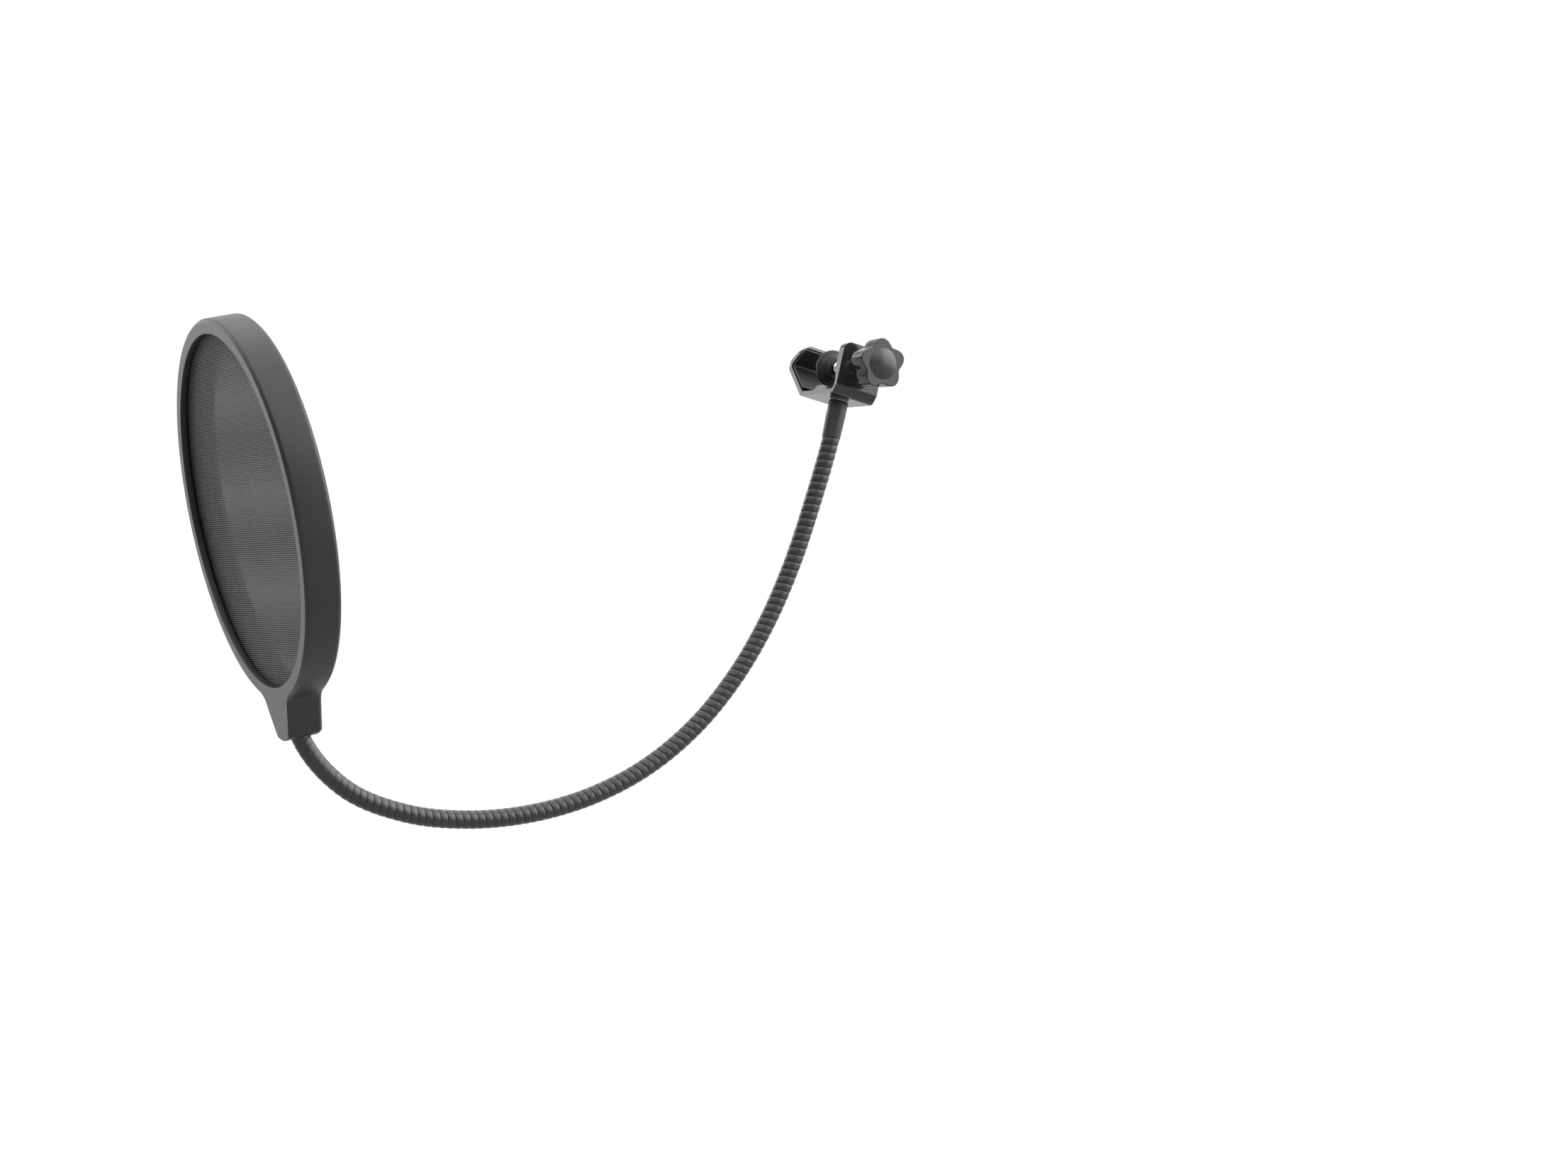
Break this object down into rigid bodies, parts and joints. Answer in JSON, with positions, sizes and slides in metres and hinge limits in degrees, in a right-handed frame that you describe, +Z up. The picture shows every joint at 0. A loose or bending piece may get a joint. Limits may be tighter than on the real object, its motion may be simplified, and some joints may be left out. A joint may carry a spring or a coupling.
{
  "type": "pop filter",
  "caption": "Round nylon screen in a slim black frame, on a bendable gooseneck with a screw clamp whose V jaw grips a square boom-arm bar.",
  "frame": {"origin": "middle of the 10 mm square bar that the clamp holds, on the axis of the clamp screw", "axes": "+Y along the clamp screw, from the knob towards the fixed V jaw; +Z up; the held bar runs along +X and 14 degrees down from it, and the gooseneck sweeps down and out along -X to the screen"},
  "size_m": [0.3004, 0.1524, 0.2035],
  "materials": {
    "black_paint": "semi-gloss black powder coat on pressed steel",
    "black_plastic": "fine-grained satin black moulding",
    "black_rubber": "matte black rubber",
    "sleeve_rubber": "matte black ribbed sleeve",
    "black_nylon": "fine black nylon screen",
    "bright_steel": "bright zinc-plated steel",
    "spring_steel": "wound steel gooseneck core"
  },
  "bodies": {
    "clamp": {"clamp_bracket": "black_paint", "jaw_liner": "black_rubber", "base_stud": "bright_steel", "base_washer": "bright_steel"},
    "foot": {"pressure_foot": "black_plastic", "foot_pad": "black_rubber"},
    "screw": {"clamp_screw": "bright_steel", "clamp_knob": "black_plastic", "knob_cap": "black_plastic"},
    "base": {"base_ferrule": "black_paint"},
    "neck_01": {"gooseneck_sleeve_01": "sleeve_rubber", "gooseneck_spring_01": "spring_steel"},
    "neck_02": {"gooseneck_sleeve_02": "sleeve_rubber", "gooseneck_spring_02": "spring_steel"},
    "neck_03": {"gooseneck_sleeve_03": "sleeve_rubber", "gooseneck_spring_03": "spring_steel"},
    "neck_04": {"gooseneck_sleeve_04": "sleeve_rubber", "gooseneck_spring_04": "spring_steel"},
    "neck_05": {"gooseneck_sleeve_05": "sleeve_rubber", "gooseneck_spring_05": "spring_steel"},
    "neck_06": {"gooseneck_sleeve_06": "sleeve_rubber", "gooseneck_spring_06": "spring_steel"},
    "neck_07": {"gooseneck_sleeve_07": "sleeve_rubber", "gooseneck_spring_07": "spring_steel"},
    "neck_08": {"gooseneck_sleeve_08": "sleeve_rubber", "gooseneck_spring_08": "spring_steel"},
    "neck_09": {"gooseneck_sleeve_09": "sleeve_rubber", "gooseneck_spring_09": "spring_steel"},
    "neck_10": {"gooseneck_sleeve_10": "sleeve_rubber", "gooseneck_spring_10": "spring_steel"},
    "neck_11": {"gooseneck_sleeve_11": "sleeve_rubber", "gooseneck_spring_11": "spring_steel"},
    "neck_12": {"gooseneck_sleeve_12": "sleeve_rubber", "gooseneck_spring_12": "spring_steel"},
    "head": {"ring_front_shell": "black_plastic", "ring_rear_shell": "black_plastic", "front_screen": "black_nylon", "screen_spacer": "black_plastic", "rear_screen": "black_nylon", "head_ferrule": "bright_steel"}
  },
  "joints": [
    {"name": "screw_turn", "type": "hinge", "parent": "foot", "child": "screw", "pos_m": [0, -0.02, 0], "axis": [0, 1, 0], "range_deg": [-5760.1, 1800.1]},
    {"name": "foot_slide", "type": "slide", "parent": "clamp", "child": "foot", "axis": [0, 1, 0], "range_m": [-0.016, 0.005]},
    {"name": "base_swivel", "type": "hinge", "parent": "clamp", "child": "base", "pos_m": [-0.00484, -0.0175, -0.01941], "axis": [0.2419, 0, 0.9703], "range_deg": [-90, 90]},
    {"name": "lower_curl_1", "type": "hinge", "parent": "base", "child": "neck_01", "pos_m": [-0.0077, -0.0175, -0.031], "axis": [0, 1, 0], "range_deg": [-10, 10]},
    {"name": "lower_sway_1", "type": "hinge", "parent": "neck_01", "child": "neck_02", "pos_m": [-0.0165, -0.0175, -0.0575], "axis": [0.942, 0, -0.3355], "range_deg": [-10, 10]},
    {"name": "lower_curl_2", "type": "hinge", "parent": "neck_02", "child": "neck_03", "pos_m": [-0.0264, -0.0175, -0.0835], "axis": [0, 1, 0], "range_deg": [-10, 10]},
    {"name": "lower_curl_3", "type": "hinge", "parent": "neck_03", "child": "neck_04", "pos_m": [-0.0388, -0.0175, -0.1085], "axis": [0, 1, 0], "range_deg": [-10, 10]},
    {"name": "lower_sway_2", "type": "hinge", "parent": "neck_04", "child": "neck_05", "pos_m": [-0.0542, -0.0175, -0.1315], "axis": [0.783, 0, -0.622], "range_deg": [-10, 10]},
    {"name": "middle_curl_1", "type": "hinge", "parent": "neck_05", "child": "neck_06", "pos_m": [-0.0732, -0.0175, -0.1518], "axis": [0, 1, 0], "range_deg": [-12, 10]},
    {"name": "middle_curl_2", "type": "hinge", "parent": "neck_06", "child": "neck_07", "pos_m": [-0.0958, -0.0175, -0.168], "axis": [0, 1, 0], "range_deg": [-12, 10]},
    {"name": "upper_sway_1", "type": "hinge", "parent": "neck_07", "child": "neck_08", "pos_m": [-0.1211, -0.0175, -0.1792], "axis": [0.3168, 0, -0.9485], "range_deg": [-10, 10]},
    {"name": "middle_curl_3", "type": "hinge", "parent": "neck_08", "child": "neck_09", "pos_m": [-0.1482, -0.0175, -0.1855], "axis": [0, 1, 0], "range_deg": [-12, 10]},
    {"name": "upper_curl_1", "type": "hinge", "parent": "neck_09", "child": "neck_10", "pos_m": [-0.176, -0.0175, -0.1871], "axis": [0, 1, 0], "range_deg": [-16, 6]},
    {"name": "upper_sway_2", "type": "hinge", "parent": "neck_10", "child": "neck_11", "pos_m": [-0.2034, -0.0175, -0.1837], "axis": [-0.2515, 0, -0.9678], "range_deg": [-10, 10]},
    {"name": "upper_curl_2", "type": "hinge", "parent": "neck_11", "child": "neck_12", "pos_m": [-0.2291, -0.0175, -0.1733], "axis": [0, 1, 0], "range_deg": [-16, 6]},
    {"name": "upper_curl_3", "type": "hinge", "parent": "neck_12", "child": "head", "pos_m": [-0.2476, -0.0175, -0.1532], "axis": [0, 1, 0], "range_deg": [-16, 6]}
  ],
  "couplings": [
    {"joint": "screw_turn", "follows": "foot_slide", "rad_per_m": 6283.2},
    {"joint": "lower_curl_2", "follows": "lower_curl_1", "ratio": 1},
    {"joint": "lower_curl_3", "follows": "lower_curl_1", "ratio": 1},
    {"joint": "lower_sway_2", "follows": "lower_sway_1", "ratio": 1},
    {"joint": "middle_curl_2", "follows": "middle_curl_1", "ratio": 1},
    {"joint": "middle_curl_3", "follows": "middle_curl_1", "ratio": 1},
    {"joint": "upper_sway_2", "follows": "upper_sway_1", "ratio": 1},
    {"joint": "upper_curl_2", "follows": "upper_curl_1", "ratio": 1},
    {"joint": "upper_curl_3", "follows": "upper_curl_1", "ratio": 1}
  ]
}
